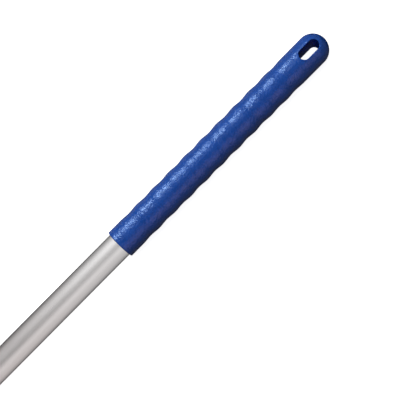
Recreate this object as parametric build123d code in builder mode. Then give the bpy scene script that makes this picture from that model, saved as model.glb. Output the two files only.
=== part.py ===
from build123d import *
import math
import os

# Screw-in handle for a floor tool: aluminium tube, moulded grip with hang hole, plastic screw end.
# Frame: the handle lies along X. The origin is on the axis at the lower end of the tube, where the
# collar of the screw end bears on it. +X runs to the grip, and the hang hole goes through along Z.

os.makedirs("parts", exist_ok=True)

# ---- driving dimensions, mm ----
POLE_OD = 25.0          # tube outer diameter
POLE_WALL = 1.2         # tube wall
POLE_LENGTH = 1333.0    # tube, from the collar to its end inside the grip
EDGE_BREAK = 0.3        # deburred tube ends

GRIP_START = 1117.0     # lower end of the grip
GRIP_TIP = 1378.0       # outermost point of the domed end
GRIP_R_END = 15.05      # plain hang end
GRIP_R_CUFF = 14.75     # plain cuff at the lower end
WAVE_PITCH = 20.4       # valley to valley
VALLEY_RADII = (14.45, 14.45, 14.25, 14.25, 14.2, 14.2, 14.2, 14.2, 14.15, 14.15)  # from the hang end
CREST_RADII = (15.1, 15.1, 15.05, 15.05, 15.05, 15.0, 14.95, 14.85, 14.85)
FIRST_VALLEY = 51.9     # first valley, back from the tip
SHOULDER = 41.0         # end of the plain hang end, back from the tip
CUFF_FLAT = 245.5       # start of the cuff, back from the tip
CUFF_ROUND = 0.8        # rounded lower edge of the cuff

HOLE_CENTRE = 19.25     # hang hole centre, back from the tip
HOLE_LENGTH = 22.2      # end to end
HOLE_WIDTH = 10.4
HOLE_ROUND = 0.8        # rounded mouth of the hole

THREAD_MAJOR_R = 11.7   # male thread
THREAD_ROOT_R = 10.3
THREAD_PITCH = 3.3
COLLAR_R = 11.85
COLLAR_LENGTH = 2.1
GROOVE_FLOOR = 0.09     # half of the groove's flat floor, in pitches
GROOVE_TOP = 0.35       # half of the groove's width at the major diameter, in pitches
GROOVE_OVER = 0.4       # how far the groove's section runs out past the major diameter
COLLAR_BREAK = 0.1      # chamfer on the collar's outer edge
NOSE_X = -22.0          # outer face of the screw end
NOSE_CHAMFER = 4.0      # lead-in at the nose, along the axis
NOSE_R = 9.75           # radius at the outer face

SHANK_LENGTH = 46.0     # length of the insert inside the tube
SHANK_CORE_R = 9.9      # shank between its ribs
SHANK_RIB_WIDTH = 2.4
SHANK_RIBS = 8
SHANK_LEAD = 3.0        # tapered end of the ribs
CORE_R = 6.5            # moulding core, open at the inner end
CORE_FLOOR = -15.0      # where the core stops

PIN_R = 1.5             # slotted spring pin
PIN_BORE_R = 0.85
PIN_SLOT = 0.6
PIN_X = 18.0            # back from the collar
PIN_LENGTH = 24.0

pole_r = POLE_OD / 2
bore_r = pole_r - POLE_WALL


# ---- pole tube: drawn tube with deburred ends, cross-drilled for the pin ----
with BuildPart() as pole_tube:
    with BuildSketch(Plane.YZ):
        Circle(pole_r)
        Circle(bore_r, mode=Mode.SUBTRACT)
    extrude(amount=POLE_LENGTH)
    rims = pole_tube.edges().filter_by(GeomType.CIRCLE).group_by(Axis.X)
    outer_rims = [g.sort_by(SortBy.RADIUS)[-1] for g in (rims[0], rims[-1])]
    chamfer(outer_rims, EDGE_BREAK)
    with BuildSketch(Plane.XZ):
        with Locations((PIN_X, 0)):
            Circle(PIN_R)
    extrude(amount=POLE_OD, both=True, mode=Mode.SUBTRACT)
pole_tube.part.label = "pole_tube"


# ---- grip: turned outline with soft ring waves, blind socket for the tube, obround hang hole ----
wave_points = []
for i, valley in enumerate(VALLEY_RADII):
    back = FIRST_VALLEY + i * WAVE_PITCH
    wave_points.append((GRIP_TIP - back, valley))
    if i < len(CREST_RADII):
        wave_points.append((GRIP_TIP - back - WAVE_PITCH / 2, CREST_RADII[i]))
shoulder_point = (GRIP_TIP - SHOULDER, GRIP_R_END)
cuff_point = (GRIP_TIP - CUFF_FLAT, GRIP_R_CUFF)

with BuildPart() as grip:
    with BuildSketch(Plane.XZ):
        with BuildLine():
            dome = CenterArc((GRIP_TIP - GRIP_R_END, 0), GRIP_R_END, 0, 90)
            shoulder = Line(dome @ 1, shoulder_point)
            waves = Spline(
                shoulder_point, *wave_points, cuff_point, tangents=[(-1, 0), (-1, 0)]
            )
            cuff = Line(waves @ 1, (GRIP_START + CUFF_ROUND, GRIP_R_CUFF))
            edge = CenterArc(
                (GRIP_START + CUFF_ROUND, GRIP_R_CUFF - CUFF_ROUND), CUFF_ROUND, 90, 90
            )
            Polyline(
                edge @ 1,
                (GRIP_START, pole_r),
                (POLE_LENGTH, pole_r),
                (POLE_LENGTH, 0),
                dome @ 0,
            )
        make_face()
    revolve(axis=Axis.X)
    with BuildSketch(Plane.XY):
        with Locations((GRIP_TIP - HOLE_CENTRE, 0)):
            SlotOverall(HOLE_LENGTH, HOLE_WIDTH)
    extrude(amount=2 * GRIP_R_END, both=True, mode=Mode.SUBTRACT)
    hole_walls = [
        f
        for f in grip.faces()
        if abs(f.center().X - (GRIP_TIP - HOLE_CENTRE)) < HOLE_LENGTH / 2
        and abs(f.center().Z) < 0.5
        and abs(f.center().Y) < HOLE_WIDTH / 2 + 0.1
    ]
    mouth_edges = [
        e
        for f in hole_walls
        for e in f.edges()
        if abs(e.center().Z) > GRIP_R_END * 0.5
    ]
    mouths = []
    for e in mouth_edges:
        if not any(e.is_same(m) for m in mouths):
            mouths.append(e)
    fillet(mouths, HOLE_ROUND)
grip.part.label = "grip"


# ---- threaded insert: collar, male thread and ribbed shank in one moulding ----
# A blank of the major diameter has the helical groove between the ridges swept out of it, past both
# ends of the threaded length. It is then trimmed to the envelope between the collar and the tapered
# nose, and ends inside the collar.
groove_depth = THREAD_MAJOR_R - THREAD_ROOT_R
groove_slope = (GROOVE_TOP - GROOVE_FLOOR) * THREAD_PITCH / groove_depth
with BuildPart() as thread:
    with BuildSketch(Plane.XZ):
        with BuildLine():
            Polyline(
                (NOSE_X - 14, 0),
                (NOSE_X - 14, THREAD_MAJOR_R),
                (8, THREAD_MAJOR_R),
                (8, 0),
                close=True,
            )
        make_face()
    revolve(axis=Axis.X)
    with BuildLine() as helix_path:
        Helix(
            pitch=THREAD_PITCH,
            height=-NOSE_X + 2 * THREAD_PITCH,
            radius=THREAD_ROOT_R,
            center=(THREAD_PITCH / 2, 0, 0),
            direction=(-1, 0, 0),
        )
    groove_plane = Plane(
        origin=helix_path.line @ 0, x_dir=(-1, 0, 0), z_dir=helix_path.line % 0
    )
    with BuildSketch(groove_plane):
        with BuildLine():
            Polyline(
                (-THREAD_PITCH * GROOVE_FLOOR, 0),
                (THREAD_PITCH * GROOVE_FLOOR, 0),
                (THREAD_PITCH * GROOVE_TOP + groove_slope * GROOVE_OVER, groove_depth + GROOVE_OVER),
                (-THREAD_PITCH * GROOVE_TOP - groove_slope * GROOVE_OVER, groove_depth + GROOVE_OVER),
                close=True,
            )
        make_face()
    sweep(path=helix_path.line, is_frenet=True, mode=Mode.SUBTRACT)
    with BuildSketch(Plane.XZ):
        with BuildLine():
            Polyline(
                (-COLLAR_LENGTH + 0.5, 0),
                (-COLLAR_LENGTH + 0.5, THREAD_MAJOR_R + 1),
                (NOSE_X + NOSE_CHAMFER, THREAD_MAJOR_R + 1),
                (NOSE_X + NOSE_CHAMFER, THREAD_MAJOR_R),
                (NOSE_X, NOSE_R),
                (NOSE_X, 0),
                close=True,
            )
        make_face()
    revolve(axis=Axis.X, mode=Mode.INTERSECT)

with BuildPart() as threaded_insert:
    add(thread.part)
    with BuildSketch(Plane.XZ):
        with BuildLine():
            Polyline(
                (-COLLAR_LENGTH, 0),
                (-COLLAR_LENGTH, COLLAR_R - COLLAR_BREAK),
                (-COLLAR_LENGTH + COLLAR_BREAK, COLLAR_R),
                (0, COLLAR_R),
                (0, SHANK_CORE_R),
                (SHANK_LENGTH, SHANK_CORE_R),
                (SHANK_LENGTH, 0),
                close=True,
            )
        make_face()
    revolve(axis=Axis.X)
    with BuildSketch(Plane.YZ):
        with PolarLocations(0, SHANK_RIBS):
            with Locations((bore_r / 2 + SHANK_CORE_R / 4, 0)):
                Rectangle(bore_r - SHANK_CORE_R / 2, SHANK_RIB_WIDTH)
        Circle(bore_r, mode=Mode.INTERSECT)
    extrude(amount=SHANK_LENGTH)
    # tapered lead on the ribs, moulding core and pin hole
    with BuildSketch(Plane.XZ):
        with BuildLine():
            Polyline(
                (SHANK_LENGTH - SHANK_LEAD, bore_r),
                (SHANK_LENGTH + 1, SHANK_CORE_R),
                (SHANK_LENGTH + 1, bore_r + 1),
                (SHANK_LENGTH - SHANK_LEAD, bore_r + 1),
                close=True,
            )
        make_face()
    revolve(axis=Axis.X, mode=Mode.SUBTRACT)
    with BuildSketch(Plane.YZ.offset(CORE_FLOOR)):
        Circle(CORE_R)
    extrude(amount=SHANK_LENGTH - CORE_FLOOR, mode=Mode.SUBTRACT)
    with BuildSketch(Plane.XZ):
        with Locations((PIN_X, 0)):
            Circle(PIN_R)
    extrude(amount=POLE_OD, both=True, mode=Mode.SUBTRACT)
threaded_insert.part.label = "threaded_insert"

# Halfway up the ridge, the moulding is solid at each turn's crest and open half a pitch away.
ridge_mid = (THREAD_MAJOR_R + THREAD_ROOT_R) / 2
for turn in range(1, 5):
    crest = -THREAD_PITCH * turn
    for x, solid in ((crest, True), (crest - THREAD_PITCH / 2, False)):
        if threaded_insert.solid().is_inside((x, 0, -ridge_mid)) != solid:
            raise ValueError(f"thread is wrong at x = {x:.2f}")


# ---- cross pin: slotted spring pin, a little below flush at both ends ----
with BuildPart() as cross_pin:
    with BuildSketch(Plane.XZ):
        with Locations((PIN_X, 0)):
            Circle(PIN_R)
    extrude(amount=PIN_LENGTH / 2, both=True)
    chamfer(cross_pin.edges().filter_by(GeomType.CIRCLE), 0.25)
    with BuildSketch(Plane.XZ):
        with Locations((PIN_X, 0)):
            Circle(PIN_BORE_R)
        with Locations((PIN_X, PIN_R)):
            Rectangle(PIN_SLOT, 2 * PIN_R)
    extrude(amount=PIN_LENGTH / 2, both=True, mode=Mode.SUBTRACT)
cross_pin.part.label = "cross_pin"


export_step(pole_tube.part, "parts/pole_tube.step")
export_step(grip.part, "parts/grip.step")
export_step(threaded_insert.part, "parts/threaded_insert.step")
export_step(cross_pin.part, "parts/cross_pin.step")

overall = GRIP_TIP - NOSE_X
print("overall length mm", round(overall, 2))
for piece in (pole_tube, grip, threaded_insert, cross_pin):
    print(piece.part.label, len(piece.part.solids()), round(piece.part.volume, 1), piece.part.is_valid)
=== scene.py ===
import math

import bmesh
import bpy
import numpy as np
from mathutils import Matrix, Vector


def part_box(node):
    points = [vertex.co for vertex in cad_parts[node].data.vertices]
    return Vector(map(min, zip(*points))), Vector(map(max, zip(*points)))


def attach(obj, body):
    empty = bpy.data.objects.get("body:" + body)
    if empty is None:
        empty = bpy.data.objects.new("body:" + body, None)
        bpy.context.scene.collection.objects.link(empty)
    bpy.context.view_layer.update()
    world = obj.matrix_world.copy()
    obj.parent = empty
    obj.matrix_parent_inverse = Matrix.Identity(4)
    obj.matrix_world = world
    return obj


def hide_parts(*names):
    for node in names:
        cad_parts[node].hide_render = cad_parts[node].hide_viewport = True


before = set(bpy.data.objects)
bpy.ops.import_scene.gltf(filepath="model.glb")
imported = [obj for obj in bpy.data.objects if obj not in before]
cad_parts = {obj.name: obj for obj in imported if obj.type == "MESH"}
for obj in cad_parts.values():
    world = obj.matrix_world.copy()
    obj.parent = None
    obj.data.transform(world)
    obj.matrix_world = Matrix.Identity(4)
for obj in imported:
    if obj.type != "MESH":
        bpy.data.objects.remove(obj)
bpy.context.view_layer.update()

MM = 0.001
scene = bpy.context.scene
scene.view_settings.view_transform = "Standard"
scene.view_settings.look = "None"
scene.view_settings.exposure = 0.0
scene.view_settings.gamma = 1.0

# ------------------------------------------------------------------ places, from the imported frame
grip_lo, grip_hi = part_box("grip")
tube_lo, tube_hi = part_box("pole_tube")
ins_lo, ins_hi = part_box("threaded_insert")
pin_lo, pin_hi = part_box("cross_pin")

TIP = grip_hi.x / MM                    # outermost point of the domed end
GRIP_START = grip_lo.x / MM             # lower end of the grip
TUBE_R = tube_hi.y / MM
TUBE_END = tube_hi.x / MM
NOSE = ins_lo.x / MM
SHANK_END = ins_hi.x / MM
PIN_X = (pin_lo.x + pin_hi.x) / 2 / MM
PIN_HALF = pin_hi.y / MM
PIN_R = (pin_hi.x - pin_lo.x) / 2 / MM

# ------------------------------------------------------------------ mesh helpers (all sizes in mm)


class Build:
    """Collects points and faces in mm, then writes one closed mesh in metres."""

    def __init__(self):
        self.co, self.faces = [], []

    def add(self, pts):
        first = len(self.co)
        self.co.extend(tuple(p) for p in pts)
        return list(range(first, first + len(pts)))

    def bridge(self, a, b, closed=True):
        n = len(a)
        for i in range(n if closed else n - 1):
            j = (i + 1) % n
            self.faces.append((a[i], a[j], b[j], b[i]))

    def fan(self, ring, centre, flip=False):
        c = self.add([centre])[0]
        n = len(ring)
        for i in range(n):
            j = (i + 1) % n
            self.faces.append((ring[j], ring[i], c) if flip else (ring[i], ring[j], c))

    def finish(self, name, sharp_deg=32.0, merge=0.0008):
        me = bpy.data.meshes.new(name)
        me.from_pydata([tuple(v * MM for v in p) for p in self.co], [], self.faces)
        bm = bmesh.new()
        bm.from_mesh(me)
        bmesh.ops.remove_doubles(bm, verts=bm.verts, dist=merge * MM)
        bmesh.ops.dissolve_degenerate(bm, edges=bm.edges, dist=merge * MM * 0.5)
        bmesh.ops.recalc_face_normals(bm, faces=bm.faces)
        limit = math.radians(sharp_deg)
        for f in bm.faces:
            f.smooth = True
        for e in bm.edges:
            e.smooth = not (len(e.link_faces) == 2 and e.calc_face_angle(0.0) > limit)
        bm.to_mesh(me)
        bm.free()
        ob = bpy.data.objects.new(name, me)
        scene.collection.objects.link(ob)
        return ob


def ring_points(x, r, n, phase=0.0):
    return [
        (x, r * math.cos(phase + 2 * math.pi * k / n), r * math.sin(phase + 2 * math.pi * k / n))
        for k in range(n)
    ]


def ease(a, b, t):
    return a + (b - a) * (0.5 - 0.5 * math.cos(math.pi * min(max(t, 0.0), 1.0)))


# ------------------------------------------------------------------ grip: outline of the moulding
R_END, R_CUFF = 15.05, 14.75
PITCH, FIRST = 20.4, 51.9
VALLEY_RADII = (14.45, 14.45, 14.25, 14.25, 14.2, 14.2, 14.2, 14.2, 14.15, 14.15)
CREST_RADII = (15.1, 15.1, 15.05, 15.05, 15.05, 15.0, 14.95, 14.85, 14.85)
SHOULDER, CUFF_FLAT, CUFF_ROUND = 41.0, 245.5, 0.8
HOLE_BACK, HOLE_LEN, HOLE_W, HOLE_ROUND = 19.25, 22.2, 10.4, 0.8
GRIP_LEN = TIP - GRIP_START

knots = [(SHOULDER, R_END)]
for i, valley in enumerate(VALLEY_RADII):
    knots.append((FIRST + i * PITCH, valley))
    if i < len(CREST_RADII):
        knots.append((FIRST + (i + 0.5) * PITCH, CREST_RADII[i]))
knots.append((CUFF_FLAT, R_CUFF))


def grip_radius(back):
    """Outer radius of the grip, at a distance back from the tip."""
    if back <= SHOULDER:
        return R_END
    if back >= CUFF_FLAT:
        return R_CUFF
    for (b0, r0), (b1, r1) in zip(knots, knots[1:]):
        if back <= b1:
            return ease(r0, r1, (back - b0) / (b1 - b0))
    return R_CUFF


def make_grip():
    g = Build()
    n = 144                                  # points round the body
    cut = 39.5                               # where the hang end meets the waved body
    # waved body, from the cut down to the rounded cuff
    backs = list(np.linspace(cut, GRIP_LEN - CUFF_ROUND, 330))
    rings = [g.add(ring_points(TIP - b, grip_radius(b), n)) for b in backs]
    for k in range(1, 7):
        a = math.radians(90 * k / 6)
        b = GRIP_LEN - CUFF_ROUND + CUFF_ROUND * math.sin(a)
        rings.append(g.add(ring_points(TIP - b, R_CUFF - CUFF_ROUND + CUFF_ROUND * math.cos(a), n)))
    # end face, a small lead into the socket, socket wall and floor
    bore = TUBE_R + 0.03
    rings.append(g.add(ring_points(GRIP_START, bore + 0.35, n)))
    rings.append(g.add(ring_points(GRIP_START + 0.35, bore, n)))
    rings.append(g.add(ring_points((GRIP_START + TUBE_END) / 2, bore, n)))
    rings.append(g.add(ring_points(TUBE_END + 0.05, bore, n)))
    rings.append(g.add(ring_points(TUBE_END + 0.05, bore * 0.5, n)))
    for a, b in zip(rings, rings[1:]):
        g.bridge(a, b)
    g.fan(rings[-1], (TUBE_END + 0.05, 0, 0))

    # hang end: plan rays from the hole's centre out to the outline, top half mirrored to the bottom
    hx = TIP - HOLE_BACK
    dx = TIP - R_END
    half_seg = (HOLE_LEN - HOLE_W) / 2
    hw = HOLE_W / 2
    outline = []
    m = n // 2
    for k in range(m + 1):                                     # across the body end
        a = math.pi * k / m
        outline.append((TIP - cut, R_END * math.cos(a), R_END * math.sin(a)))
    side = 32
    for k in range(1, side + 1):
        outline.append((TIP - cut + (dx - TIP + cut) * k / side, -R_END, 0.0))
    dome = 64
    for k in range(1, dome):
        a = -math.pi / 2 + math.pi * k / dome
        outline.append((dx + R_END * math.cos(a), R_END * math.sin(a), 0.0))
    for k in range(side, 0, -1):
        outline.append((TIP - cut + (dx - TIP + cut) * k / side, R_END, 0.0))

    def sdf(x, y):
        qx = max(abs(x - hx) - half_seg, 0.0)
        return math.hypot(qx, y) - hw

    def skin(x, y):
        ex = max(x - dx, 0.0)
        return math.sqrt(max(R_END ** 2 - y * y - ex * ex, 0.0))

    def at_distance(px, py, d):
        lo, hi = 0.0, 1.0
        for _ in range(40):
            mid = (lo + hi) / 2
            if sdf(hx + (px - hx) * mid, py * mid) < d:
                lo = mid
            else:
                hi = mid
        return (lo + hi) / 2

    f_steps, r_steps, w_steps = 9, 20, 14
    cols_top = []
    for px, py, pz in outline:
        t_f = at_distance(px, py, HOLE_ROUND)
        flat = 1.0 - pz / R_END
        pts = []
        for k in range(f_steps):
            a = math.pi / 2 * k / f_steps
            d = HOLE_ROUND * (1 - math.cos(a))
            t = at_distance(px, py, d + 1e-9)
            x, y = hx + (px - hx) * t, py * t
            z = skin(x, y) - (HOLE_ROUND - HOLE_ROUND * math.sin(a))
            pts.append((x, y, z))
        for k in range(r_steps + 1):
            w = k / r_steps
            t = t_f + (1 - t_f) * ((1 - flat) * w + flat * math.sin(math.pi / 2 * w))
            if k == r_steps:
                pts.append((px, py, pz))
            else:
                x, y = hx + (px - hx) * t, py * t
                pts.append((x, y, skin(x, y)))
        cols_top.append(pts)
    n_pts = len(cols_top[0])
    for sign in (1, -1):
        rings = [g.add([(c[i][0], c[i][1], sign * c[i][2]) for c in cols_top]) for i in range(n_pts)]
        for a, b in zip(rings, rings[1:]):
            g.bridge(a, b)
    wall = []
    for k in range(w_steps + 1):
        s = 1 - 2 * k / w_steps
        wall.append(g.add([(c[0][0], c[0][1], s * c[0][2]) for c in cols_top]))
    for a, b in zip(wall, wall[1:]):
        g.bridge(a, b)
    ob = g.finish("grip_moulding", sharp_deg=50)
    return ob


# ------------------------------------------------------------------ pole tube
def make_tube():
    t = Build()
    n = 128
    bore = TUBE_R - 1.2
    brk = 0.3
    xs_out = [brk * 1.0, brk * 1.6, 6, 10, 13, PIN_X - 3.2, PIN_X + 3.2, 24, 30, 45, 70]
    xs_out += list(np.linspace(100, TUBE_END - 10, 26)) + [TUBE_END - brk]
    rings = [t.add(ring_points(0.0, TUBE_R - brk, n))]
    rings.append(t.add(ring_points(brk * 0.35, TUBE_R - brk * 0.35, n)))
    rings += [t.add(ring_points(x, TUBE_R, n)) for x in xs_out]
    rings.append(t.add(ring_points(TUBE_END, TUBE_R - brk, n)))
    rings.append(t.add(ring_points(TUBE_END, bore, n)))
    for x in (TUBE_END - 10, 700, 100, 45, PIN_X + 3.2, PIN_X - 3.2, 0.0):
        rings.append(t.add(ring_points(x, bore, n)))
    for a, b in zip(rings, rings[1:]):
        t.bridge(a, b)
    t.bridge(rings[-1], rings[0])
    return t.finish("tube_drawn", sharp_deg=35)


# ------------------------------------------------------------------ threaded insert
T_MAJOR, T_ROOT, T_PITCH = 11.7, 10.3, 3.3
COLLAR_R, COLLAR_L = 11.85, 2.1
NOSE_CHAMFER, NOSE_R = 4.0, 9.75
SHANK_CORE, SHANK_LEAD = 9.9, 3.0
CORE_R, CORE_FLOOR = 6.5, -15.0


def smooth_step(a, b, t):
    t = min(max((t - a) / (b - a), 0.0), 1.0)
    return t * t * (3 - 2 * t)


def thread_radius(x, theta):
    """Outer radius ahead of the collar: rounded trapezoid ridge on a right-handed helix."""
    ph = (-x - T_PITCH * theta / (2 * math.pi)) / T_PITCH
    ph = abs((ph % 1.0) - 0.5) * 2            # 1 at the middle of the root, 0 at the crest
    ridge = 1.0 - smooth_step(0.26, 0.88, ph)
    fade = smooth_step(-COLLAR_L + 0.1, -COLLAR_L - 1.5, x)
    r = T_ROOT + (T_MAJOR - T_ROOT) * ridge * fade
    lead = NOSE_R + (T_MAJOR - NOSE_R) * (x - NOSE) / NOSE_CHAMFER
    # the lead-in cone cuts the ridges, with a soft edge
    k = 0.12
    h = min(max(0.5 + 0.5 * (lead - r) / k, 0.0), 1.0)
    return lead * (1 - h) + r * h - k * h * (1 - h) * 0.5


def rib_radius(theta, x):
    bore = TUBE_R - 1.2 - 0.02
    a = (theta % (2 * math.pi / 8))
    a = min(a, 2 * math.pi / 8 - a) * SHANK_CORE          # arc distance from a rib's middle
    top = bore - (bore - SHANK_CORE - 0.15) * min(max((x - (SHANK_END - SHANK_LEAD)) / SHANK_LEAD, 0), 1)
    return SHANK_CORE + (top - SHANK_CORE) * (1 - smooth_step(1.0, 1.4, a))


def make_insert():
    t = Build()
    n = 192
    th = [2 * math.pi * k / n for k in range(n)]

    def polar(x, f):
        return [(x, f(a) * math.cos(a), f(a) * math.sin(a)) for a in th]

    rings = []
    rings.append(t.add(polar(NOSE, lambda a: 3.0)))
    rings.append(t.add(polar(NOSE, lambda a: 6.0)))
    rings.append(t.add(polar(NOSE, lambda a: NOSE_R - 0.45)))
    rings.append(t.add(polar(NOSE + 0.10, lambda a: NOSE_R - 0.18)))
    for x in np.arange(NOSE + 0.30, -COLLAR_L - 0.02, 0.11):
        rings.append(t.add(polar(float(x), lambda a: thread_radius(float(x), a))))
    rings.append(t.add(polar(-COLLAR_L, lambda a: T_ROOT + 0.05)))
    # collar with softened edges
    e = 0.3
    for k in range(0, 6):
        q = math.radians(90 * k / 5)
        rings.append(t.add(polar(-COLLAR_L + e * (1 - math.cos(q)), lambda a: COLLAR_R - e + e * math.sin(q))))
    rings.append(t.add(polar(-0.25, lambda a: COLLAR_R)))
    rings.append(t.add(polar(-0.02, lambda a: COLLAR_R - 0.2)))
    # shank with eight ribs, inside the tube
    rings.append(t.add(polar(-0.02, lambda a: rib_radius(a, 0.0))))
    for x in list(np.linspace(1.0, SHANK_END - SHANK_LEAD, 28)) + list(np.linspace(SHANK_END - SHANK_LEAD + 0.5, SHANK_END, 6)):
        rings.append(t.add(polar(float(x), lambda a: rib_radius(a, float(x)))))
    # open inner end and moulding core
    rings.append(t.add(polar(SHANK_END, lambda a: CORE_R + 0.3)))
    rings.append(t.add(polar(SHANK_END - 0.3, lambda a: CORE_R)))
    for x in (30.0, PIN_X + 3, PIN_X - 3, 5.0, -5.0, CORE_FLOOR + 0.4):
        rings.append(t.add(polar(x, lambda a: CORE_R)))
    rings.append(t.add(polar(CORE_FLOOR, lambda a: CORE_R - 0.4)))
    rings.append(t.add(polar(CORE_FLOOR, lambda a: 2.5)))
    for a, b in zip(rings, rings[1:]):
        t.bridge(a, b)
    t.fan(rings[-1], (CORE_FLOOR, 0, 0))
    t.fan(rings[0], (NOSE + 0.0, 0, 0), flip=True)
    return t.finish("screw_end", sharp_deg=40)


# ------------------------------------------------------------------ cross pin: rolled spring pin with a slot
def make_pin():
    t = Build()
    n = 40
    gap = math.asin(0.3 / PIN_R)
    th = [math.pi / 2 + gap + (2 * math.pi - 2 * gap) * k / n for k in range(n + 1)]
    ri = 0.85
    stations = [(-PIN_HALF, 0.28), (-PIN_HALF + 0.06, 0.16), (-PIN_HALF + 0.35, 0.0), (-8, 0), (0, 0), (8, 0),
                (PIN_HALF - 0.35, 0.0), (PIN_HALF - 0.06, 0.16), (PIN_HALF, 0.28)]
    loops = []
    for y, cut in stations:
        ro = PIN_R - 0.01 - cut
        outer = [(PIN_X + ro * math.cos(a), y, ro * math.sin(a)) for a in th]
        inner = [(PIN_X + ri * math.cos(a), y, ri * math.sin(a)) for a in reversed(th)]
        loops.append(t.add(outer + inner))
    for a, b in zip(loops, loops[1:]):
        t.bridge(a, b)
    for loop, flip in ((loops[0], False), (loops[-1], True)):
        for i in range(n):
            q = (loop[i], loop[i + 1], loop[2 * n + 1 - (i + 1)], loop[2 * n + 1 - i])
            t.faces.append(tuple(reversed(q)) if flip else q)
    return t.finish("spring_pin", sharp_deg=40)


def drill(ob, radius, half):
    """Cuts the cross hole for the pin."""
    bm = bmesh.new()
    seg = 48
    rings = []
    for y in (-half, half):
        rings.append([bm.verts.new(((PIN_X + radius * math.cos(2 * math.pi * k / seg)) * MM, y * MM,
                                    radius * math.sin(2 * math.pi * k / seg) * MM)) for k in range(seg)])
    for k in range(seg):
        j = (k + 1) % seg
        bm.faces.new((rings[0][k], rings[0][j], rings[1][j], rings[1][k]))
    bm.faces.new(list(reversed(rings[0])))
    bm.faces.new(rings[1])
    bmesh.ops.recalc_face_normals(bm, faces=bm.faces)
    me = bpy.data.meshes.new("cutter")
    bm.to_mesh(me)
    bm.free()
    cutter = bpy.data.objects.new("cutter", me)
    scene.collection.objects.link(cutter)
    mod = ob.modifiers.new("drill", "BOOLEAN")
    mod.operation = "DIFFERENCE"
    mod.solver = "EXACT"
    mod.object = cutter
    dg = bpy.context.evaluated_depsgraph_get()
    new = bpy.data.meshes.new_from_object(ob.evaluated_get(dg))
    ob.modifiers.clear()
    old = ob.data
    ob.data = new
    bpy.data.meshes.remove(old)
    bpy.data.objects.remove(cutter)
    bm = bmesh.new()
    bm.from_mesh(ob.data)
    for f in bm.faces:
        f.smooth = True
    for e in bm.edges:
        e.smooth = not (len(e.link_faces) == 2 and e.calc_face_angle(0.0) > math.radians(35))
    bm.to_mesh(ob.data)
    bm.free()


grip = make_grip()
tube = make_tube()
insert = make_insert()
pin = make_pin()
drill(tube, PIN_R + 0.02, 20)
drill(insert, PIN_R + 0.02, 20)


# ------------------------------------------------------------------ materials
def new_material(name):
    m = bpy.data.materials.new(name)
    m.use_nodes = True
    nt = m.node_tree
    nt.nodes.clear()
    out = nt.nodes.new("ShaderNodeOutputMaterial")
    bsdf = nt.nodes.new("ShaderNodeBsdfPrincipled")
    nt.links.new(bsdf.outputs["BSDF"], out.inputs["Surface"])
    return m, nt, bsdf


def node(nt, kind, **kw):
    nd = nt.nodes.new(kind)
    for k, v in kw.items():
        if k.startswith("i_"):
            nd.inputs[k[2:].replace("_", " ")].default_value = v
        else:
            setattr(nd, k, v)
    return nd


def coords(nt, scale):
    tc = nt.nodes.new("ShaderNodeTexCoord")
    mp = nt.nodes.new("ShaderNodeMapping")
    mp.inputs["Scale"].default_value = scale
    nt.links.new(tc.outputs["Object"], mp.inputs["Vector"])
    return mp.outputs["Vector"]


def noise(nt, vec, scale, detail=2.0, rough=0.5, seed=0.0):
    nd = node(nt, "ShaderNodeTexNoise", noise_dimensions="4D")
    nd.inputs["W"].default_value = seed
    nd.inputs["Scale"].default_value = scale
    nd.inputs["Detail"].default_value = detail
    nd.inputs["Roughness"].default_value = rough
    nt.links.new(vec, nd.inputs["Vector"])
    return nd.outputs["Fac"]


def remap(nt, value, a, b, c, d):
    nd = node(nt, "ShaderNodeMapRange")
    nt.links.new(value, nd.inputs["Value"])
    for k, v in zip(("From Min", "From Max", "To Min", "To Max"), (a, b, c, d)):
        nd.inputs[k].default_value = v
    return nd.outputs["Result"]


def math_node(nt, op, a, b=None):
    nd = node(nt, "ShaderNodeMath", operation=op)
    for i, v in enumerate((a, b)):
        if v is None:
            continue
        if isinstance(v, (int, float)):
            nd.inputs[i].default_value = v
        else:
            nt.links.new(v, nd.inputs[i])
    return nd.outputs[0]


def mix_colour(nt, fac, a, b):
    nd = node(nt, "ShaderNodeMix", data_type="RGBA")
    sa = [s for s in nd.inputs if s.name == "A" and s.type == "RGBA"][0]
    sb = [s for s in nd.inputs if s.name == "B" and s.type == "RGBA"][0]
    sf = [s for s in nd.inputs if s.name == "Factor" and s.type == "VALUE"][0]
    so = [s for s in nd.outputs if s.type == "RGBA"][0]
    for s, v in ((sa, a), (sb, b)):
        if isinstance(v, tuple):
            s.default_value = (*v, 1.0)
        else:
            nt.links.new(v, s)
    if isinstance(fac, (int, float)):
        sf.default_value = fac
    else:
        nt.links.new(fac, sf)
    return so


def bump(nt, height, distance, strength=1.0, normal=None):
    nd = node(nt, "ShaderNodeBump")
    nd.inputs["Distance"].default_value = distance
    nd.inputs["Strength"].default_value = strength
    nt.links.new(height, nd.inputs["Height"])
    if normal is not None:
        nt.links.new(normal, nd.inputs["Normal"])
    return nd.outputs["Normal"]


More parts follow.
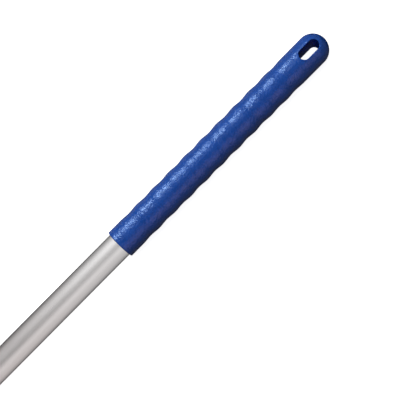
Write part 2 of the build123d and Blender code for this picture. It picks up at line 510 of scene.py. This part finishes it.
def grip_material():
    m, nt, b = new_material("grip_blue_polypropylene")
    vec = coords(nt, (1, 1, 1))
    cloud = noise(nt, vec, 90, 3, 0.55, 1.7)          # slow mottling of the moulding
    fine = noise(nt, vec, 650, 2, 0.5, 4.2)           # spark-eroded grain
    c = mix_colour(nt, remap(nt, cloud, 0.35, 0.65, 0, 1), (0.0065, 0.078, 0.42), (0.0095, 0.092, 0.48))
    c = mix_colour(nt, remap(nt, fine, 0.3, 0.7, 0.0, 0.25), c, (0.006, 0.066, 0.38))
    nt.links.new(c, b.inputs["Base Color"])
    r = math_node(nt, "ADD", remap(nt, cloud, 0.3, 0.7, 0.24, 0.32), remap(nt, fine, 0.3, 0.7, -0.03, 0.05))
    nt.links.new(r, b.inputs["Roughness"])
    b.inputs["IOR"].default_value = 1.49
    b.inputs["Specular IOR Level"].default_value = 0.21
    pebble = noise(nt, vec, 400, 2, 0.6, 9.1)
    n1 = bump(nt, pebble, 0.00060, 0.9)
    n2 = bump(nt, fine, 0.00004, 0.9, n1)
    nt.links.new(n2, b.inputs["Normal"])
    return m


def tube_material():
    m, nt, b = new_material("tube_drawn_aluminium")
    drawn = coords(nt, (0.03, 1, 1))                  # lines along the pole
    lines = noise(nt, drawn, 2600, 3, 0.6, 2.2)
    broad = noise(nt, drawn, 420, 2, 0.5, 6.0)
    vec = coords(nt, (1, 1, 1))
    haze = noise(nt, vec, 35, 3, 0.5, 3.3)
    c = mix_colour(nt, remap(nt, lines, 0.3, 0.7, 0, 1), (0.80, 0.80, 0.805), (0.88, 0.88, 0.885))
    c = mix_colour(nt, remap(nt, haze, 0.3, 0.75, 0.0, 0.25), c, (0.78, 0.77, 0.75))
    nt.links.new(c, b.inputs["Base Color"])
    b.inputs["Metallic"].default_value = 1.0
    r = math_node(nt, "ADD", remap(nt, broad, 0.3, 0.7, 0.28, 0.34), remap(nt, lines, 0.3, 0.7, -0.03, 0.04))
    nt.links.new(r, b.inputs["Roughness"])
    n1 = bump(nt, lines, 0.000012, 0.8)
    nt.links.new(n1, b.inputs["Normal"])
    return m


def insert_material():
    m, nt, b = new_material("screw_end_black_plastic")
    vec = coords(nt, (1, 1, 1))
    cloud = noise(nt, vec, 160, 3, 0.6, 5.1)
    fine = noise(nt, vec, 1500, 2, 0.5, 7.7)
    geo = nt.nodes.new("ShaderNodeNewGeometry")
    # thread crests made lighter by pointiness: partly wear on the ridges, partly a painted highlight along them
    crest_wear_and_highlight = remap(nt, geo.outputs["Pointiness"], 0.52, 0.60, 0.0, 0.6)
    c = mix_colour(nt, remap(nt, cloud, 0.35, 0.65, 0, 1), (0.012, 0.0098, 0.008), (0.020, 0.0165, 0.0135))
    c = mix_colour(nt, crest_wear_and_highlight, c, (0.052, 0.046, 0.039))
    nt.links.new(c, b.inputs["Base Color"])
    r = math_node(nt, "ADD", remap(nt, cloud, 0.3, 0.7, 0.28, 0.40), remap(nt, fine, 0.3, 0.7, -0.04, 0.06))
    nt.links.new(r, b.inputs["Roughness"])
    nt.links.new(bump(nt, fine, 0.00003, 0.8), b.inputs["Normal"])
    b.inputs["IOR"].default_value = 1.5
    return m


def pin_material():
    m, nt, b = new_material("pin_plated_steel")
    vec = coords(nt, (1, 0.15, 1))
    grind = noise(nt, vec, 5200, 3, 0.6, 8.3)
    cloud = noise(nt, coords(nt, (1, 1, 1)), 700, 2, 0.5, 1.1)
    c = mix_colour(nt, remap(nt, cloud, 0.3, 0.7, 0, 1), (0.44, 0.44, 0.45), (0.58, 0.57, 0.55))
    nt.links.new(c, b.inputs["Base Color"])
    b.inputs["Metallic"].default_value = 1.0
    nt.links.new(remap(nt, grind, 0.3, 0.7, 0.28, 0.46), b.inputs["Roughness"])
    nt.links.new(bump(nt, grind, 0.00001, 0.7), b.inputs["Normal"])
    return m


for ob, mat, node_name, slot_name in (
    (grip, grip_material(), "grip", "grip_plastic"),
    (tube, tube_material(), "pole_tube", "tube_aluminium"),
    (insert, insert_material(), "threaded_insert", "insert_plastic"),
    (pin, pin_material(), "cross_pin", "pin_steel"),
):
    ob.data.materials.clear()
    ob.data.materials.append(mat)
    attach(ob, "root")
    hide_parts(node_name)

# ------------------------------------------------------------------ camera
# The handle lies square to the line of sight, rolled a little about its own axis.
ROLL, SLANT = math.radians(9.3), math.radians(45.237)
pole = Vector((1, 0, 0))
across = Vector((0, math.cos(ROLL), math.sin(ROLL)))      # towards the upper left of the frame
back = Vector((0, -math.sin(ROLL), math.cos(ROLL)))       # towards the camera
right = pole * math.cos(SLANT) - across * math.sin(SLANT)
up = pole * math.sin(SLANT) + across * math.cos(SLANT)
PX, SENSOR = 0.900 * MM, 36.0                             # one pixel of a 420 by 420 frame, at the axis
dist = 0.87
cam_data = bpy.data.cameras.new("camera")
cam_data.type = "PERSP"
cam_data.lens = dist * SENSOR / (420 * PX)
cam_data.sensor_width = SENSOR
cam_data.clip_start, cam_data.clip_end = 0.05, 100
cam = bpy.data.objects.new("camera", cam_data)
scene.collection.objects.link(cam)
cam.rotation_mode = "QUATERNION"
cam.location = Vector(((TIP - 182.05) * MM, 0, 0)) - across * (39.67 * PX) + back * dist
cam.rotation_quaternion = Matrix((right, up, back)).transposed().to_quaternion()
scene.camera = cam

# ------------------------------------------------------------------ floor, world and studio lights
floor_z = grip_lo.z - 0.0002
bm = bmesh.new()
S = 400.0
quad = [bm.verts.new(v) for v in ((-S, -S, floor_z), (S, -S, floor_z), (S, S, floor_z), (-S, S, floor_z))]
bm.faces.new(quad)
me = bpy.data.meshes.new("floor")
bm.to_mesh(me)
bm.free()
floor = bpy.data.objects.new("floor", me)
scene.collection.objects.link(floor)
fm, nt, b = new_material("floor_pale")
b.inputs["Base Color"].default_value = (0.8, 0.8, 0.8, 1)
b.inputs["Roughness"].default_value = 0.9
b.inputs["Specular IOR Level"].default_value = 0.0
b.inputs["Emission Color"].default_value = (1, 1, 1, 1)
b.inputs["Emission Strength"].default_value = 0.93
floor.data.materials.append(fm)
floor.visible_glossy = False
floor.visible_diffuse = False

world = bpy.data.worlds.new("studio")
scene.world = world
world.use_nodes = True
nt = world.node_tree
nt.nodes.clear()
out = nt.nodes.new("ShaderNodeOutputWorld")
bg_seen = node(nt, "ShaderNodeBackground")
bg_seen.inputs["Color"].default_value = (1, 1, 1, 1)
bg_seen.inputs["Strength"].default_value = 0.935
bg_gloss = node(nt, "ShaderNodeBackground")
bg_soft = node(nt, "ShaderNodeBackground")
bg_soft.inputs["Color"].default_value = (1.0, 0.75, 1.0, 1)
bg_soft.inputs["Strength"].default_value = 0.036
tc = nt.nodes.new("ShaderNodeTexCoord")
sep = nt.nodes.new("ShaderNodeSeparateXYZ")
nt.links.new(tc.outputs["Generated"], sep.inputs["Vector"])
# strip lights along the pole: brightness by the angle round X, in degrees from straight up towards +Y
turn = node(nt, "ShaderNodeMath", operation="ARCTAN2")
nt.links.new(sep.outputs["Y"], turn.inputs[0])
nt.links.new(sep.outputs["Z"], turn.inputs[1])
ramp = nt.nodes.new("ShaderNodeValToRGB")
ramp.color_ramp.interpolation = "EASE"
for e in list(ramp.color_ramp.elements)[1:]:
    ramp.color_ramp.elements.remove(e)
STRIPS = ((-178, 0.0), (-164, 0.02), (-154, 0.11), (-144, 0.24), (-129, 0.39), (-116, 0.50), (-102, 0.60), (-80, 0.655),
          (-61, 0.745), (-50, 0.87), (-40, 0.90), (-26, 0.72), (-10, 0.55), (6.5, 0.69), (24, 0.99), (37, 1.10),
          (47, 1.09), (60, 0.97), (72, 0.80), (82, 0.63), (96, 0.47), (110, 0.35), (127, 0.20), (145, 0.07), (160, 0.0))
BRIGHT = max(v for _, v in STRIPS)
for k, (deg, v) in enumerate(STRIPS):
    e = ramp.color_ramp.elements[0] if k == 0 else ramp.color_ramp.elements.new(deg / 360 + 0.5)
    e.position = deg / 360 + 0.5
    e.color = (v / BRIGHT, v / BRIGHT, v / BRIGHT, 1)
bg_gloss.inputs["Strength"].default_value = BRIGHT
nt.links.new(remap(nt, turn.outputs[0], -math.pi, math.pi, 0, 1), ramp.inputs["Fac"])
# the strips dim and warm towards their lower end, each by its own share
fade = nt.nodes.new("ShaderNodeValToRGB")
FADES = ((-180, 1.0), (-107, 0.97), (-61, 0.90), (-10, 0.56), (42, 0.29), (88, 0.52), (180, 0.52))
for k, (deg, v) in enumerate(FADES):
    e = fade.color_ramp.elements[k] if k < 2 else fade.color_ramp.elements.new(deg / 360 + 0.5)
    e.position = deg / 360 + 0.5
    e.color = (v, v, v, 1)
nt.links.new(remap(nt, turn.outputs[0], -math.pi, math.pi, 0, 1), fade.inputs["Fac"])
far = remap(nt, sep.outputs["X"], -0.42, -0.60, 1.0, 0.12)         # past this the strips are even again
near = remap(nt, sep.outputs["X"], 0.02, 0.22, 1.0, 0.0)
fall = math_node(nt, "MULTIPLY", remap(nt, sep.outputs["X"], -0.02, -0.36, -0.51, 1.80), math_node(nt, "MULTIPLY", far, near))
share = math_node(nt, "POWER", fade.outputs["Color"], fall)
tint = math_node(nt, "MULTIPLY", remap(nt, sep.outputs["X"], -0.12, -0.24, 0, 1), far)
warm = mix_colour(nt, tint, (1.0, 1.0, 1.0), (1.10, 0.975, 0.945))
dimmed = node(nt, "ShaderNodeVectorMath", operation="SCALE")
nt.links.new(warm, dimmed.inputs[0])
nt.links.new(share, dimmed.inputs["Scale"])
lit = node(nt, "ShaderNodeVectorMath", operation="MULTIPLY")
nt.links.new(ramp.outputs["Color"], lit.inputs[0])
nt.links.new(dimmed.outputs["Vector"], lit.inputs[1])
nt.links.new(lit.outputs["Vector"], bg_gloss.inputs["Color"])
lp = nt.nodes.new("ShaderNodeLightPath")
mix_lit = nt.nodes.new("ShaderNodeMixShader")
nt.links.new(lp.outputs["Is Glossy Ray"], mix_lit.inputs["Fac"])
nt.links.new(bg_soft.outputs["Background"], mix_lit.inputs[1])
nt.links.new(bg_gloss.outputs["Background"], mix_lit.inputs[2])
mixs = nt.nodes.new("ShaderNodeMixShader")
nt.links.new(lp.outputs["Is Camera Ray"], mixs.inputs["Fac"])
nt.links.new(mix_lit.outputs["Shader"], mixs.inputs[1])
nt.links.new(bg_seen.outputs["Background"], mixs.inputs[2])
nt.links.new(mixs.outputs["Shader"], out.inputs["Surface"])

lights_at = Vector((1.15, 0, 0))


def softbox(name, off_deg, distance, size_x, size_y, watts, along=0.0, colour=(1, 1, 1)):
    """An area light off_deg from the camera's line, towards the upper left (negative: lower right)."""
    o = math.radians(off_deg)
    d = (back * math.cos(o) + across * math.sin(o)).normalized()
    ld = bpy.data.lights.new(name, "AREA")
    ld.shape = "RECTANGLE"
    ld.size, ld.size_y = size_x, size_y
    ld.energy = watts
    ld.color = colour
    ob = bpy.data.objects.new(name, ld)
    scene.collection.objects.link(ob)
    ob.location = lights_at + Vector((along, 0, 0)) + d * distance
    ob.rotation_mode = "QUATERNION"
    z = d
    x = Vector((1, 0, 0))
    x = (x - z * x.dot(z)).normalized()
    y = z.cross(x)
    ob.rotation_quaternion = Matrix((x, y, z)).transposed().to_quaternion()
    return ob


key = softbox("key", 60, 2.6, 1.5, 0.75, 26)
key.visible_glossy = False
top = softbox("top", 21, 2.8, 1.8, 1.2, 29.5)
top.visible_glossy = False
# the highlights on the grip; the tube and the screw end take theirs from the strips round them
sheen = softbox("sheen", 56, 2.6, 0.36, 1.20, 138, along=0.11, colour=(0.40, 0.62, 0.98))
glow = softbox("glow", -44, 2.6, 1.6, 2.2, 24, colour=(1.0, 0.72, 1.0))
rim = softbox("rim", 122, 2.6, 1.5, 0.6, 2.6)
spark = softbox("spark", 60, 2.0, 0.35, 0.9, 15, along=-1.15)
for lamps, name, obs in (((sheen, glow, rim), "grip_only", (grip,)), ((spark,), "screw_end_only", (insert, pin))):
    only = bpy.data.collections.new(name)
    scene.collection.children.link(only)
    for ob in obs:
        only.objects.link(ob)
    for lamp in lamps:
        lamp.visible_diffuse = False
        lamp.light_linking.receiver_collection = only
